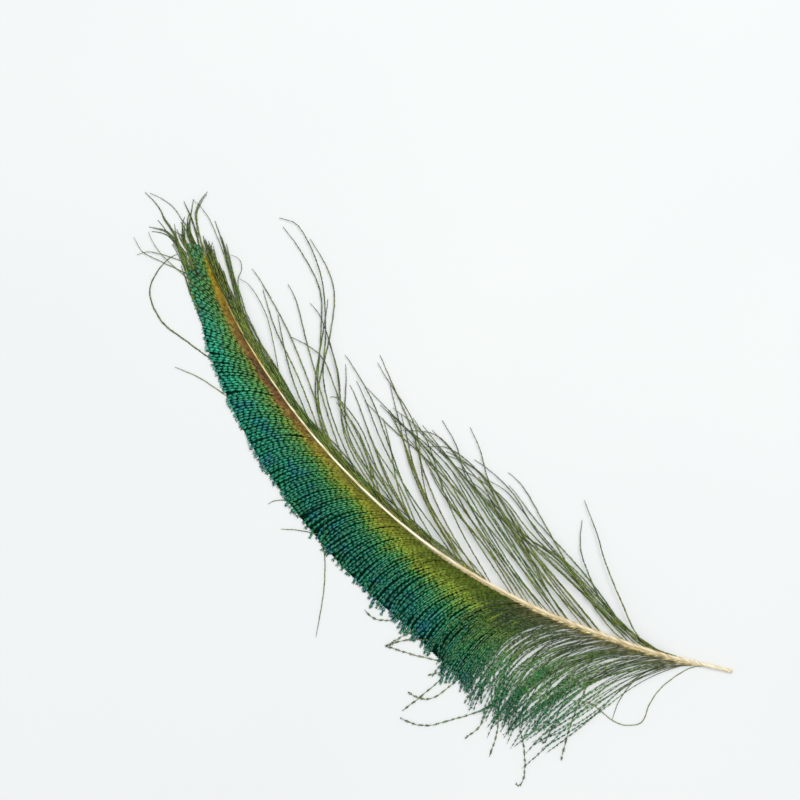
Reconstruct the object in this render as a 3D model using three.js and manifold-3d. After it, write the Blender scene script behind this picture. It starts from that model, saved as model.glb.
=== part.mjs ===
// A peacock sword feather: one of the curved feathers from the side of the train, which have no eye.
// Millimetres, +Z up. It lies on its underside, quill towards -X and tip towards +X. The shaft bows
// towards +Y and is lifted a little between its ends. The dense vane is on the outer, +Y side and
// slopes down to the ground, and the long sparse herls are on the inner side.
// Points in the plane are measured from the cut end of the quill, and "at" is a share of the shaft's
// length from there.

import * as THREE from "three";
import * as BufferGeometryUtils from "three/addons/utils/BufferGeometryUtils.js";
import Module from "manifold-3d";

const wasm = await Module();
wasm.setup();

// ---- Driving dimensions ----

const SHAFT_LINE = [
  [0, 0], [40, 18.5], [95, 37], [150, 46.4],
  [200, 46], [250, 38.2], [300, 22.4], [349, -2.5],
];
const SHAFT_ENDS_AT = 0.93;
const SHAFT_RADIUS = [
  { at: 0.0, radius: 1.0 },
  { at: 0.2, radius: 1.05 },
  { at: 0.45, radius: 0.65 },
  { at: 0.8, radius: 0.42 },
  { at: 1.0, radius: 0.3 },
];
const SHAFT_LIFT = 2.5;
const SHAFT_SIDES = 12;
const SHAFT_STEPS = 44;

// Barbs: where they leave the shaft, their length, and their angle to the shaft at the root, halfway
// along and at the tip.
const OUTER_BARBS = [
  { at: 0.05, length: 88, root: 14, middle: 36, tip: 58 },
  { at: 0.12, length: 86, root: 13, middle: 46, tip: 80 },
  { at: 0.2, length: 71, root: 20, middle: 58, tip: 96 },
  { at: 0.28, length: 57, root: 26, middle: 59, tip: 92 },
  { at: 0.36, length: 49, root: 28, middle: 56, tip: 84 },
  { at: 0.46, length: 46, root: 28, middle: 52, tip: 76 },
  { at: 0.56, length: 42, root: 28, middle: 48, tip: 68 },
  { at: 0.66, length: 37, root: 27, middle: 44, tip: 62 },
  { at: 0.75, length: 32, root: 24, middle: 38, tip: 52 },
  { at: 0.82, length: 30, root: 18, middle: 28, tip: 38 },
  { at: 0.88, length: 34, root: 12, middle: 17, tip: 22 },
  { at: 0.94, length: 32, root: 8, middle: 10, tip: 12 },
  { at: 1.0, length: 20, root: 2, middle: 3, tip: 4 },
];
const INNER_BARBS = [
  { at: 0.13, length: 136, root: 24, middle: 33, tip: 6 },
  { at: 0.22, length: 132, root: 28, middle: 36, tip: 6 },
  { at: 0.35, length: 122, root: 28, middle: 37, tip: 20 },
  { at: 0.5, length: 110, root: 21, middle: 30, tip: 18 },
  { at: 0.65, length: 94, root: 18, middle: 22, tip: 12 },
  { at: 0.78, length: 68, root: 17, middle: 14, tip: 10 },
  { at: 0.88, length: 46, root: 12, middle: 9, tip: 6 },
  { at: 0.94, length: 32, root: 9, middle: 8, tip: 6 },
  { at: 1.0, length: 18, root: 4, middle: 4, tip: 4 },
];
const OUTER = 1;
const INNER = -1;

// The closed vane, as one thin slab that ends in the tips of its barbs.
const VANE_AT = [0.27, 0.885];
const VANE_ROWS = 72;
const VANE_COLUMNS = 6;
const VANE_FLAT_FROM = 0.55;
const VANE_ROOT_THICKNESS = 1.4;
const VANE_EDGE_THICKNESS = 0.9;
const VANE_RAGGEDNESS = 0.07; // by how much of its length a barb falls short, at most
const VANE_RAGGED_TURN = 2.4; // radians from row to row, so that no two neighbours end alike

// Loose barbs, each strand standing for the few that lie together there.
const BASE_AT = [0.06, 0.25];
const BASE_STRANDS = 12;
const HERLS_AT = [0.13, 0.86];
const HERL_STRANDS = 20;
const TUFT_STARTS_AT = 0.945;
const TUFT_OPENS_AT = 0.965;
const TUFT_TIPS = [[366, 12], [379, 0], [361, -9], [354, -20]];
const STRAND_ROOT_WIDTH = 1.8;
const STRAND_TIP_WIDTH = 0.9;
const STRAND_ROOT_THICKNESS = 1.5;
const STRAND_TIP_THICKNESS = 0.9;
const STRAND_TOP_SHARE = 0.7; // width of its top, as a share of its underside
const STRAND_STEPS = 9;
const WEB_WIDTH = 1.8;
const WEB_STEPS = 28;

// The few strands that stray far from the rest.
const LONG_HERL_AT = 0.57;
const LONG_HERL = [[206, 43.5], [242, 29], [279, -17], [316, -30]];
const QUILL_HERL = [[46, 18.5], [84, -3], [111, -20]];
const LOWEST_BARB = [[43, 27], [62, 51], [61, 89], [46, 112]];
const SWEPT_BARB = [[86, 77], [104, 92], [101, 116]];
const CURLED_BARB = [[299, 43.5], [333, 45], [347, 33], [349, 18]];

const CLEARANCE = 0.4;

// ---- Lines in the plane ----

const shaftLine = new THREE.CatmullRomCurve3(
  SHAFT_LINE.map(([x, y]) => new THREE.Vector3(x, y, 0)),
  false,
  "catmullrom",
  0.5,
);
shaftLine.arcLengthDivisions = 400;

// The value of one property of a table of stations, between the two stations on either side.
function valueAt(stations, at, property) {
  const next = stations.findIndex((station) => station.at >= at);
  if (next <= 0) {
    return stations[next === 0 ? 0 : stations.length - 1][property];
  }
  const [low, high] = [stations[next - 1], stations[next]];
  return THREE.MathUtils.mapLinear(at, low.at, high.at, low[property], high[property]);
}

function shaftRadius(at) {
  return valueAt(SHAFT_RADIUS, at, "radius");
}

// How far the shaft's underside is above the ground.
function shaftLift(at) {
  return SHAFT_LIFT * Math.sin(Math.PI * Math.min(at / SHAFT_ENDS_AT, 1));
}

function headingOf(tangent) {
  return Math.atan2(tangent.y, tangent.x);
}

// A point beside the shaft, offset to the outer side, or to the inner side when negative.
function besideShaft(at, offset) {
  const heading = headingOf(shaftLine.getTangentAt(at));
  const sideways = new THREE.Vector3(-Math.sin(heading), Math.cos(heading), 0);
  return shaftLine.getPointAt(at).addScaledVector(sideways, offset);
}

// The angle to the shaft at a share of a barb's length.
function barbAngle(table, at, share) {
  const middle = valueAt(table, at, "middle");
  if (share < 0.5) {
    return THREE.MathUtils.lerp(valueAt(table, at, "root"), middle, 2 * share);
  }
  return THREE.MathUtils.lerp(middle, valueAt(table, at, "tip"), 2 * share - 1);
}

// The line of one barb, which turns from its root angle through its middle angle to its tip angle.
function barbLine(at, side, rootOffset, steps, lengthShare = 1) {
  const table = side === OUTER ? OUTER_BARBS : INNER_BARBS;
  const heading = headingOf(shaftLine.getTangentAt(at));
  const stepLength = (valueAt(table, at, "length") * lengthShare) / steps;
  const points = [besideShaft(at, side * rootOffset)];
  for (let step = 0; step < steps; step += 1) {
    const angle = barbAngle(table, at, (step + 0.5) / steps);
    const direction = heading + side * THREE.MathUtils.degToRad(angle);
    const move = new THREE.Vector3(Math.cos(direction), Math.sin(direction), 0);
    points.push(points.at(-1).clone().addScaledVector(move, stepLength));
  }
  return points;
}

function smoothLine(corners, steps) {
  const curve = new THREE.CatmullRomCurve3(corners.map(([x, y]) => new THREE.Vector3(x, y, 0)));
  return curve.getSpacedPoints(steps);
}

// ---- Solids ----

// A closed body through rings of points that turn anticlockwise seen from its far end.
function loft(rings) {
  const sides = rings[0].length;
  const last = (rings.length - 1) * sides;
  const indices = [];
  for (let ring = 0; ring < rings.length - 1; ring += 1) {
    for (let side = 0; side < sides; side += 1) {
      const near = ring * sides + side;
      const beside = ring * sides + ((side + 1) % sides);
      indices.push(near, beside, beside + sides);
      indices.push(near, beside + sides, near + sides);
    }
  }
  for (let side = 1; side < sides - 1; side += 1) {
    indices.push(0, side + 1, side);
    indices.push(last, last + side, last + side + 1);
  }
  const geometry = new THREE.BufferGeometry().setFromPoints(rings.flat());
  geometry.setIndex(indices);
  return geometry;
}

// The sideways direction at each point of a line in the plane, to its left.
function leftOf(line) {
  return [...line.keys()].map((index) => {
    const ahead = line[Math.min(index + 1, line.length - 1)];
    const behind = line[Math.max(index - 1, 0)];
    const heading = headingOf(ahead.clone().sub(behind));
    return new THREE.Vector3(-Math.sin(heading), Math.cos(heading), 0);
  });
}

// A strand along a line in the plane, thinner towards its end, with its underside at a given height.
function strand(line, underside, rootWidth = STRAND_ROOT_WIDTH, tipWidth = STRAND_TIP_WIDTH) {
  const left = leftOf(line);
  const rings = line.map((point, index) => {
    const along = index / (line.length - 1);
    const half = THREE.MathUtils.lerp(rootWidth, tipWidth, along) / 2;
    const bottom = underside(along);
    const top = bottom + THREE.MathUtils.lerp(STRAND_ROOT_THICKNESS, STRAND_TIP_THICKNESS, along);
    const topHalf = STRAND_TOP_SHARE * half;
    const corners = [[half, bottom], [topHalf, top], [-topHalf, top], [-half, bottom]];
    return corners.map(([offset, height]) => {
      const corner = point.clone().addScaledVector(left[index], offset);
      return corner.setZ(height);
    });
  });
  return loft(rings);
}

const onGround = () => 0;

// The height of a strand's underside, from the shaft it leaves down to the ground at its tip.
function sinking(rootAt) {
  return (along) => shaftLift(rootAt) * (1 - along) ** 2;
}

// The roots of the barbs beside the shaft, which join a group of strands.
function rootWeb(from, to, side) {
  const line = [];
  for (let step = 0; step <= WEB_STEPS; step += 1) {
    const at = THREE.MathUtils.lerp(from, to, step / WEB_STEPS);
    line.push(besideShaft(at, side * (shaftRadius(at) + CLEARANCE + WEB_WIDTH / 2)));
  }
  const underside = (along) => shaftLift(THREE.MathUtils.lerp(from, to, along));
  return strand(line, underside, WEB_WIDTH, WEB_WIDTH);
}

function solidOf(geometry) {
  const bare = new THREE.BufferGeometry();
  bare.setAttribute("position", geometry.getAttribute("position"));
  bare.setIndex(geometry.getIndex());
  const merged = BufferGeometryUtils.mergeVertices(bare);
  return new wasm.Manifold(
    new wasm.Mesh({
      numProp: 3,
      vertProperties: new Float32Array(merged.getAttribute("position").array),
      triVerts: new Uint32Array(merged.getIndex().array),
    }),
  );
}

function joined(geometries) {
  const solid = geometries.map(solidOf).reduce((whole, piece) => whole.add(piece));
  const mesh = solid.getMesh();
  const geometry = new THREE.BufferGeometry();
  geometry.setAttribute("position", new THREE.BufferAttribute(mesh.vertProperties, 3));
  geometry.setIndex(new THREE.BufferAttribute(mesh.triVerts, 1));
  return geometry;
}

// Strands spread evenly along one side of the shaft.
function spreadStrands([from, to], count, side) {
  const strands = [];
  for (let index = 0; index < count; index += 1) {
    const at = THREE.MathUtils.lerp(from, to, index / (count - 1));
    const rootOffset = shaftRadius(at) + CLEARANCE + WEB_WIDTH / 2;
    strands.push(strand(barbLine(at, side, rootOffset, STRAND_STEPS), sinking(at)));
  }
  return strands;
}

// ---- The feather's parts ----

// The quill and shaft: one tapering rod, cut off square at its thick end.
function shaftSolid() {
  const rings = [];
  for (let step = 0; step <= SHAFT_STEPS; step += 1) {
    const at = (SHAFT_ENDS_AT * step) / SHAFT_STEPS;
    const radius = shaftRadius(at);
    const ring = [];
    for (let side = 0; side < SHAFT_SIDES; side += 1) {
      const turn = (2 * Math.PI * side) / SHAFT_SIDES;
      const point = besideShaft(at, radius * Math.cos(turn));
      ring.push(point.setZ(shaftLift(at) + radius * (1 + Math.sin(turn))));
    }
    rings.push(ring);
  }
  return loft(rings);
}

// The closed vane on the outer side, spanned by its barbs, with their tips as its ragged edge. It
// slopes down from the shaft, and its outer part lies flat on the ground.
function vaneSolid() {
  const columns = VANE_COLUMNS + 1;
  const rows = VANE_ROWS + 1;
  const underside = [];
  const top = [];
  for (let row = 0; row < rows; row += 1) {
    const at = THREE.MathUtils.lerp(...VANE_AT, row / VANE_ROWS);
    const lengthShare = 1 - VANE_RAGGEDNESS * Math.abs(Math.sin(VANE_RAGGED_TURN * row));
    const line = barbLine(at, OUTER, shaftRadius(at) + CLEARANCE, VANE_COLUMNS, lengthShare);
    line.forEach((point, column) => {
      const share = column / VANE_COLUMNS;
      const thickness = THREE.MathUtils.lerp(VANE_ROOT_THICKNESS, VANE_EDGE_THICKNESS, share);
      const bottom = shaftLift(at) * Math.max(1 - share / VANE_FLAT_FROM, 0) ** 2;
      underside.push(point.clone().setZ(bottom));
      top.push(point.clone().setZ(bottom + thickness));
    });
  }
  const indices = [];
  const quad = (a, b, c, d) => indices.push(a, b, c, a, c, d);
  for (let row = 0; row < VANE_ROWS; row += 1) {
    for (let column = 0; column < VANE_COLUMNS; column += 1) {
      const near = row * columns + column;
      const far = near + columns;
      const [nearTop, farTop] = [near + rows * columns, far + rows * columns];
      quad(near, near + 1, far + 1, far);
      quad(nearTop, farTop, farTop + 1, nearTop + 1);
    }
  }
  const rim = [];
  for (let row = 0; row < VANE_ROWS; row += 1) {
    rim.push(row * columns);
  }
  for (let column = 0; column < VANE_COLUMNS; column += 1) {
    rim.push(VANE_ROWS * columns + column);
  }
  for (let row = VANE_ROWS; row > 0; row -= 1) {
    rim.push(row * columns + VANE_COLUMNS);
  }
  for (let column = VANE_COLUMNS; column > 0; column -= 1) {
    rim.push(column);
  }
  rim.forEach((here, index) => {
    const next = rim[(index + 1) % rim.length];
    quad(here, next, next + rows * columns, here + rows * columns);
  });
  const geometry = new THREE.BufferGeometry().setFromPoints([...underside, ...top]);
  geometry.setIndex(indices);
  return joined([geometry, strand(smoothLine(CURLED_BARB, STRAND_STEPS), onGround)]);
}

// The long loose barbs of the outer side near the quill, which sweep back and hang clear.
function baseBarbsSolid() {
  return joined([
    rootWeb(...BASE_AT, OUTER),
    ...spreadStrands(BASE_AT, BASE_STRANDS, OUTER),
    strand(smoothLine(LOWEST_BARB, STRAND_STEPS), onGround),
    strand(smoothLine(SWEPT_BARB, STRAND_STEPS), onGround),
  ]);
}

// The long sparse herls of the inner side.
function innerHerlsSolid() {
  return joined([
    rootWeb(...HERLS_AT, INNER),
    ...spreadStrands(HERLS_AT, HERL_STRANDS, INNER),
    strand(smoothLine(LONG_HERL, STRAND_STEPS), sinking(LONG_HERL_AT)),
    strand(smoothLine(QUILL_HERL, STRAND_STEPS), sinking(HERLS_AT[0])),
  ]);
}

// The loose barbs in which the shaft ends.
function tipTuftSolid() {
  const root = [TUFT_STARTS_AT, TUFT_OPENS_AT].map((at) => besideShaft(at, 0).toArray());
  return joined(TUFT_TIPS.map((tip) => strand(smoothLine([...root, tip], STRAND_STEPS), onGround)));
}

// ---- Scene graph ----

const HORN = { color: 0xe6cfa4, roughness: 0.45 };
const DENSE_GREEN = { color: 0x0f6b52, roughness: 0.4 };
const LOOSE_GREEN = { color: 0x3d5a2c, roughness: 0.5 };
const OLIVE = { color: 0x55602f, roughness: 0.55 };

const feather = new THREE.Group();

function addPart(name, geometry, look) {
  geometry.computeVertexNormals();
  const mesh = new THREE.Mesh(geometry, new THREE.MeshStandardMaterial({ ...look, metalness: 0 }));
  mesh.name = name;
  feather.add(mesh);
}

addPart("shaft", shaftSolid(), HORN);
addPart("outer_vane", vaneSolid(), DENSE_GREEN);
addPart("base_barbs", baseBarbsSolid(), LOOSE_GREEN);
addPart("inner_herls", innerHerlsSolid(), OLIVE);
addPart("tip_tuft", tipTuftSolid(), LOOSE_GREEN);

// The origin is in the middle of the feather's footprint, on the ground.
const middle = new THREE.Box3().setFromObject(feather).getCenter(new THREE.Vector3());
feather.position.set(-middle.x, -middle.y, 0);

export default feather;
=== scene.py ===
# The looks of a peacock sword feather: its shaft, its barbs with all their barbules, and a plain studio.
# Lengths are millimetres in the plane that the feather lies in, measured from the cut end of the quill,
# with +X towards the tip, +Y towards the dense vane and +Z up. "at" is a share of the shaft's length from
# the quill, and "share" is a share of one barb's length from its root.

import math
from types import SimpleNamespace

import bpy
import numpy as np
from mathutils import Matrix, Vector


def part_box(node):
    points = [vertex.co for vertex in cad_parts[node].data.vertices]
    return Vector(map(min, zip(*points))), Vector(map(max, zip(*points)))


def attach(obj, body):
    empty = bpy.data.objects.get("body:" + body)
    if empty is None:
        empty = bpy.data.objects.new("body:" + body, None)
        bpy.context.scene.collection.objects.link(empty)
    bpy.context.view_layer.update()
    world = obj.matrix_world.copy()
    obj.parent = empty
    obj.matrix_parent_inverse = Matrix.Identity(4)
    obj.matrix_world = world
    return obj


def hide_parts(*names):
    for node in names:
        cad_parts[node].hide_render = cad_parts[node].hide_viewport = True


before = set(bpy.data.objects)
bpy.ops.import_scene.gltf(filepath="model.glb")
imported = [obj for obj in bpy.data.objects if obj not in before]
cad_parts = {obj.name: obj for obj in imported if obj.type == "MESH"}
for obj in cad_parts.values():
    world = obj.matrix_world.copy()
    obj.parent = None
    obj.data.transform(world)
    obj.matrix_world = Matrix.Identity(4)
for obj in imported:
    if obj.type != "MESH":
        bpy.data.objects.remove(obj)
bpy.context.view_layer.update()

METRES = 0.001
DENSE_SEED, LOOSE_SEED, HERL_SEED, TIP_SEED, STRAY_SEED = 11, 23, 37, 51, 67

# ---- Driving dimensions, as in the CAD part ----

SHAFT_LINE = [
    (0, 0), (40, 18.5), (95, 37), (150, 46.4),
    (200, 46), (250, 38.2), (300, 22.4), (349, -2.5),
]
SHAFT_ENDS_AT = 0.93
SHAFT_RADIUS = [(0, 1.0), (0.2, 1.05), (0.45, 0.65), (0.8, 0.42), (1, 0.3)]
SHAFT_LIFT = 2.5

# The outer barbs: where they leave the shaft, their length, and their angle to the shaft at the root,
# halfway along and at the tip.
OUTER_BARBS = [
    (0.05, 88, 14, 36, 58),
    (0.12, 86, 13, 46, 80),
    (0.20, 71, 20, 58, 96),
    (0.28, 57, 26, 59, 92),
    (0.36, 49, 28, 56, 84),
    (0.46, 46, 28, 52, 76),
    (0.56, 42, 28, 48, 68),
    (0.66, 37, 27, 44, 62),
    (0.75, 32, 24, 38, 52),
    (0.82, 30, 18, 28, 38),
    (0.88, 34, 12, 17, 22),
    (0.94, 32, 8, 10, 12),
    (1.00, 20, 2, 3, 4),
]
LENGTH, ROOT_ANGLE, MIDDLE_ANGLE, TIP_ANGLE = 1, 2, 3, 4
OUTER, INNER = 1, -1

# ---- The photograph's frame ----

PICTURE_SIZE = 800
PICTURE_MIDDLE = (400, 400)
QUILL_PIXEL = (732, 671)
MM_PER_PIXEL = 0.5
PICTURE_TURN = math.radians(-140.785)  # of the picture's right-hand direction, from +X
PICTURE_RIGHT = np.array([math.cos(PICTURE_TURN), math.sin(PICTURE_TURN)])
PICTURE_UP = np.array([-PICTURE_RIGHT[1], PICTURE_RIGHT[0]])


# ---- Small tools ----

def unit(vectors):
    return vectors / np.maximum(np.linalg.norm(vectors, axis=-1, keepdims=True), 1e-9)


def smoothstep(low, high, value):
    t = np.clip((value - low) / (high - low), 0, 1)
    return t * t * (3 - 2 * t)


def looked_up(stations, at, column=1):
    """One column of a table of stations, between the two stations on either side."""
    table = np.array(stations, float)
    return np.interp(at, table[:, 0], table[:, column])


def smooth_line(corners, per_span=24):
    """Points on the even Catmull-Rom curve through the corners."""
    corners = np.array(corners, float)
    padded = np.vstack([2 * corners[0] - corners[1], corners, 2 * corners[-1] - corners[-2]])
    t = np.linspace(0, 1, per_span, endpoint=False)[:, None]
    spans = []
    for before, start, end, after in zip(padded, padded[1:], padded[2:], padded[3:]):
        leaving, arriving = (end - before) / 2, (after - start) / 2
        span = (2 * t**3 - 3 * t**2 + 1) * start + (t**3 - 2 * t**2 + t) * leaving
        span += (3 * t**2 - 2 * t**3) * end + (t**3 - t**2) * arriving
        spans.append(span)
    return np.vstack([*spans, corners[-1:]])


def travelled(line):
    """Distance of each point of a line from its start."""
    return np.r_[0, np.cumsum(np.linalg.norm(np.diff(line, axis=0), axis=1))]


def evenly_spaced(line, steps):
    """The same line in a given number of equal steps."""
    distance = travelled(line)
    wanted = np.linspace(0, distance[-1], steps + 1)
    return np.stack([np.interp(wanted, distance, line[:, axis]) for axis in range(line.shape[1])], -1)


def wandering(at, waves, rng):
    """A smooth random curve over the shaft, from about -1 to 1, with that many waves in its length."""
    total = np.zeros(np.shape(at))
    for overtone in (1, 1.7, 2.9):
        total += np.sin(2 * np.pi * (waves * overtone * np.asarray(at) + rng.random())) / overtone
    return total / 1.6


# ---- The shaft's line ----

SHAFT_CURVE = smooth_line(SHAFT_LINE)
SHAFT_TRAVELLED = travelled(SHAFT_CURVE)
SHAFT_LENGTH = SHAFT_TRAVELLED[-1]
SHAFT_SLOPES = np.gradient(SHAFT_CURVE, SHAFT_TRAVELLED, axis=0)
SHAFT_HEADINGS = np.arctan2(SHAFT_SLOPES[:, 1], SHAFT_SLOPES[:, 0])


def on_shaft(at):
    """Points of the shaft's middle line in the plane, and its headings there."""
    distance = np.asarray(at) * SHAFT_LENGTH
    points = [np.interp(distance, SHAFT_TRAVELLED, SHAFT_CURVE[:, axis]) for axis in (0, 1)]
    return np.stack(points, -1), np.interp(distance, SHAFT_TRAVELLED, SHAFT_HEADINGS)


def shaft_radius(at):
    return looked_up(SHAFT_RADIUS, at)


def shaft_lift(at):
    """How far the shaft's underside is above the ground."""
    return SHAFT_LIFT * np.sin(np.pi * np.minimum(np.asarray(at) / SHAFT_ENDS_AT, 1))


def root_height(at):
    return shaft_lift(at) + shaft_radius(at)


# The quill's cut end in the frame, from the corner of the CAD shaft's box nearest to it.
quill_turn = np.array([math.sin(SHAFT_HEADINGS[0]), math.cos(SHAFT_HEADINGS[0])])
QUILL_END = np.array(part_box("shaft")[0][:2]) / METRES + SHAFT_RADIUS[0][1] * quill_turn


def from_picture(pixels):
    """Points in the plane from pixels of the photograph."""
    right, down = ((np.array(pixels, float) - QUILL_PIXEL) * MM_PER_PIXEL).T
    return right[:, None] * PICTURE_RIGHT - down[:, None] * PICTURE_UP


# ---- Materials ----

def srgb(red, green, blue):
    """A linear colour from an sRGB one in 0 to 255."""
    shares = [value / 255 for value in (red, green, blue)]
    linear = [s / 12.92 if s <= 0.04045 else ((s + 0.055) / 1.055) ** 2.4 for s in shares]
    return (*linear, 1.0)


class Surface:
    """A material with one Principled shader, and short calls to add nodes to it."""

    MIX_FIRST_COLOUR, MIX_SECOND_COLOUR, MIXED_COLOUR = 6, 7, 2
    VECTOR_SCALE = 3

    def __init__(self, name, **settings):
        self.material = bpy.data.materials.new(name)
        self.material.use_nodes = True
        self.tree = self.material.node_tree
        self.shader = self.tree.nodes["Principled BSDF"]
        for socket, value in settings.items():
            self.shader.inputs[socket.replace("_", " ")].default_value = value

    def node(self, kind, **properties):
        node = self.tree.nodes.new(kind)
        for name, value in properties.items():
            setattr(node, name, value)
        return node

    def link(self, value, socket):
        if isinstance(value, bpy.types.NodeSocket):
            self.tree.links.new(value, socket)
        else:
            socket.default_value = value

    def attribute(self, name):
        return self.node("ShaderNodeAttribute", attribute_name=name).outputs["Fac"]

    def noise(self, scale, detail=2.0, stretch=None):
        """Noise over the object, with a scale in features a metre, or stretched by a scale for each axis."""
        place = self.node("ShaderNodeTexCoord").outputs["Object"]
        if stretch:
            mapping = self.node("ShaderNodeMapping")
            self.link(place, mapping.inputs["Vector"])
            mapping.inputs["Scale"].default_value = stretch
            place = mapping.outputs["Vector"]
        noise = self.node("ShaderNodeTexNoise")
        self.link(place, noise.inputs["Vector"])
        noise.inputs["Scale"].default_value = scale
        noise.inputs["Detail"].default_value = detail
        return noise.outputs["Fac"]

    def maths(self, kind, first, second):
        node = self.node("ShaderNodeMath", operation=kind)
        self.link(first, node.inputs[0])
        self.link(second, node.inputs[1])
        return node.outputs[0]

    def around_zero(self, value, width):
        """A value in 0 to 1 moved to be around zero, with a given width from end to end."""
        return self.maths("MULTIPLY", self.maths("SUBTRACT", value, 0.5), width)

    def spread(self, value, low, high, new_low=0.0, new_high=1.0):
        """A value that goes smoothly from one pair of limits to another."""
        node = self.node("ShaderNodeMapRange", interpolation_type="SMOOTHSTEP")
        for index, item in enumerate((value, low, high, new_low, new_high)):
            self.link(item, node.inputs[index])
        return node.outputs[0]

    def ramp(self, value, stops):
        """A ramp with stops of (position, sRGB colour) or of (position, number in 0 to 1)."""
        node = self.node("ShaderNodeValToRGB")
        elements = node.color_ramp.elements
        while len(elements) < len(stops):
            elements.new(0.5)
        for element, (position, level) in zip(elements, stops):
            element.position = position
            element.color = srgb(*level) if isinstance(level, tuple) else (level, level, level, 1)
        self.link(value, node.inputs["Fac"])
        return node.outputs["Color"]

    def mix(self, factor, first, second, kind="MIX"):
        node = self.node("ShaderNodeMix", data_type="RGBA", blend_type=kind)
        self.link(factor, node.inputs["Factor"])
        self.link(first, node.inputs[self.MIX_FIRST_COLOUR])
        self.link(second, node.inputs[self.MIX_SECOND_COLOUR])
        return node.outputs[self.MIXED_COLOUR]

    def scaled(self, colour, factor):
        node = self.node("ShaderNodeVectorMath", operation="SCALE")
        self.link(colour, node.inputs[0])
        self.link(factor, node.inputs[self.VECTOR_SCALE])
        return node.outputs[0]

    def varied(self, colour, middle, *variations):
        """A colour made lighter and darker around a middle factor. A variation is a value in 0 to 1 and
        the width of its effect."""
        factor = middle
        for value, width in variations:
            factor = self.maths("ADD", self.around_zero(value, width), factor)
        return self.scaled(colour, factor)

    def finish(self, colour, roughness=None, height=None, depth=0.0):
        self.link(colour, self.shader.inputs["Base Color"])
        if roughness is not None:
            self.link(roughness, self.shader.inputs["Roughness"])
        if height is not None:
            bump = self.node("ShaderNodeBump")
            bump.inputs["Distance"].default_value = depth
            self.link(height, bump.inputs["Height"])
            self.link(bump.outputs["Normal"], self.shader.inputs["Normal"])
        return self.material


STREAK_DEPTH = 0.06  # of the fine streaks along the horn
# The next four values set the painted shade at the barbules' ends and in the pinches, and the painted
# highlight on the fullest beads.
GAP_SOFTNESS = 0.35  # share of a barbule's length over which it darkens
PINCH_WIDTH = 0.44  # how full a bead is where the pinch beside it ends
GLINT_WIDTH = 0.4  # share of a barbule's length, from its root, that glints
FULL_BEADS = (0.5, 0.9)  # how full a bead is where it begins to glint and where it glints most
BARB_GLOSS = (0.34, 0.56)  # lowest and highest roughness


def horn_material():
    """The shaft: pale cream at the cut, tan above it, bright ivory at mid-length and golden at the tip."""
    surface = Surface("horn", Coat_Weight=0.15, Coat_Roughness=0.3)
    streaks = surface.noise(900, 3, stretch=(0.06, 1, 1))
    colour = surface.ramp(surface.attribute("at"), [
        (0.0, (236, 228, 202)), (0.12, (226, 212, 176)), (0.30, (232, 218, 178)), (0.42, (250, 244, 218)),
        (0.72, (252, 248, 216)), (0.80, (226, 206, 130)), (0.90, (156, 132, 56)), (1.0, (108, 100, 44)),
    ])
    dark = surface.spread(streaks, 0.42, 0.66)
    colour = surface.mix(dark, colour, srgb(218, 200, 166), "MULTIPLY")
    roughness = surface.spread(streaks, 0.3, 0.7, 0.34, 0.5)
    return surface.finish(colour, roughness, streaks, STREAK_DEPTH * METRES)


def flue_shade(surface, colour, gap_shade_colour, gap_from, pinch_strength):
    """Darkens a colour with painted shade towards the ends of the barbules, from a share of their length on,
    where the gaps between barbs lie in shade, and in the pinches between the beads of a barb, where the flue
    turns from the light."""
    gap_full = surface.maths("ADD", gap_from, GAP_SOFTNESS)
    between = surface.spread(surface.attribute("reach"), gap_from, gap_full)
    pinched = surface.spread(surface.attribute("bead"), 0.0, PINCH_WIDTH, 1.0, 0.0)
    shade = surface.maths("MAXIMUM", between, surface.maths("MULTIPLY", pinched, pinch_strength))
    return surface.mix(shade, colour, gap_shade_colour)


def glinting(surface, colour, glint_colour, strength):
    """Paints a highlight into a colour along the ridges of the fullest beads: a painted glint."""
    ridge = surface.spread(surface.attribute("reach"), 0.0, GLINT_WIDTH, 1.0, 0.0)
    full = surface.spread(surface.attribute("bead"), *FULL_BEADS)
    glint = surface.maths("MULTIPLY", ridge, full)
    return surface.mix(surface.maths("MULTIPLY", glint, strength), colour, glint_colour)


def silky(surface, colour):
    """Finishes a barb's material with a fine grain in its gloss."""
    grain = surface.noise(2600, 2)
    return surface.finish(colour, surface.spread(grain, 0.3, 0.7, *BARB_GLOSS))


# The dense vane's colours go by a barb's "at" and by "place", which is its share moved so that the satin
# band beside the shaft ends at the same place all along it. Beyond the band is the web.
BAND_ENDS_AT = 0.29
BAND_WIDTH = [(0.28, 0.34), (0.45, 0.28), (0.60, 0.18), (0.76, 0.22), (0.84, 0.34), (0.93, 0.46)]
BAND_EDGE = (0.24, 0.34)
BAND_COLOURS = [
    (0.26, (78, 100, 52)), (0.36, (104, 122, 48)), (0.44, (122, 136, 52)), (0.54, (142, 142, 54)),
    (0.63, (152, 142, 60)), (0.70, (144, 114, 62)), (0.76, (138, 98, 68)), (0.83, (148, 116, 64)),
    (0.90, (188, 162, 52)), (1.0, (130, 140, 56)),
]
# Shares of a barbule's length from which painted shade darkens it, by "at" in the band and in the web.
BAND_GAPS_FROM = [(0.4, 0.5), (0.58, 0.95), (0.82, 0.95), (0.9, 0.5)]
WEB_GAPS_FROM = 0.22
LOW_WEB_COLOURS = [
    (0.24, (168, 176, 58)), (0.34, (132, 164, 58)), (0.46, (66, 142, 68)), (0.62, (16, 124, 86)),
    (0.84, (2, 102, 92)), (1.0, (16, 122, 80)),
]
HIGH_WEB_COLOURS = [
    (0.28, (130, 134, 66)), (0.38, (100, 144, 66)), (0.58, (84, 160, 82)), (0.80, (46, 184, 138)),
    (1.0, (24, 162, 134)),
]
# Strength of the painted highlight, by place.
GLINTS = [(0.24, 0), (0.34, 0.7), (0.5, 0.6), (1, 0.55)]


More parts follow.
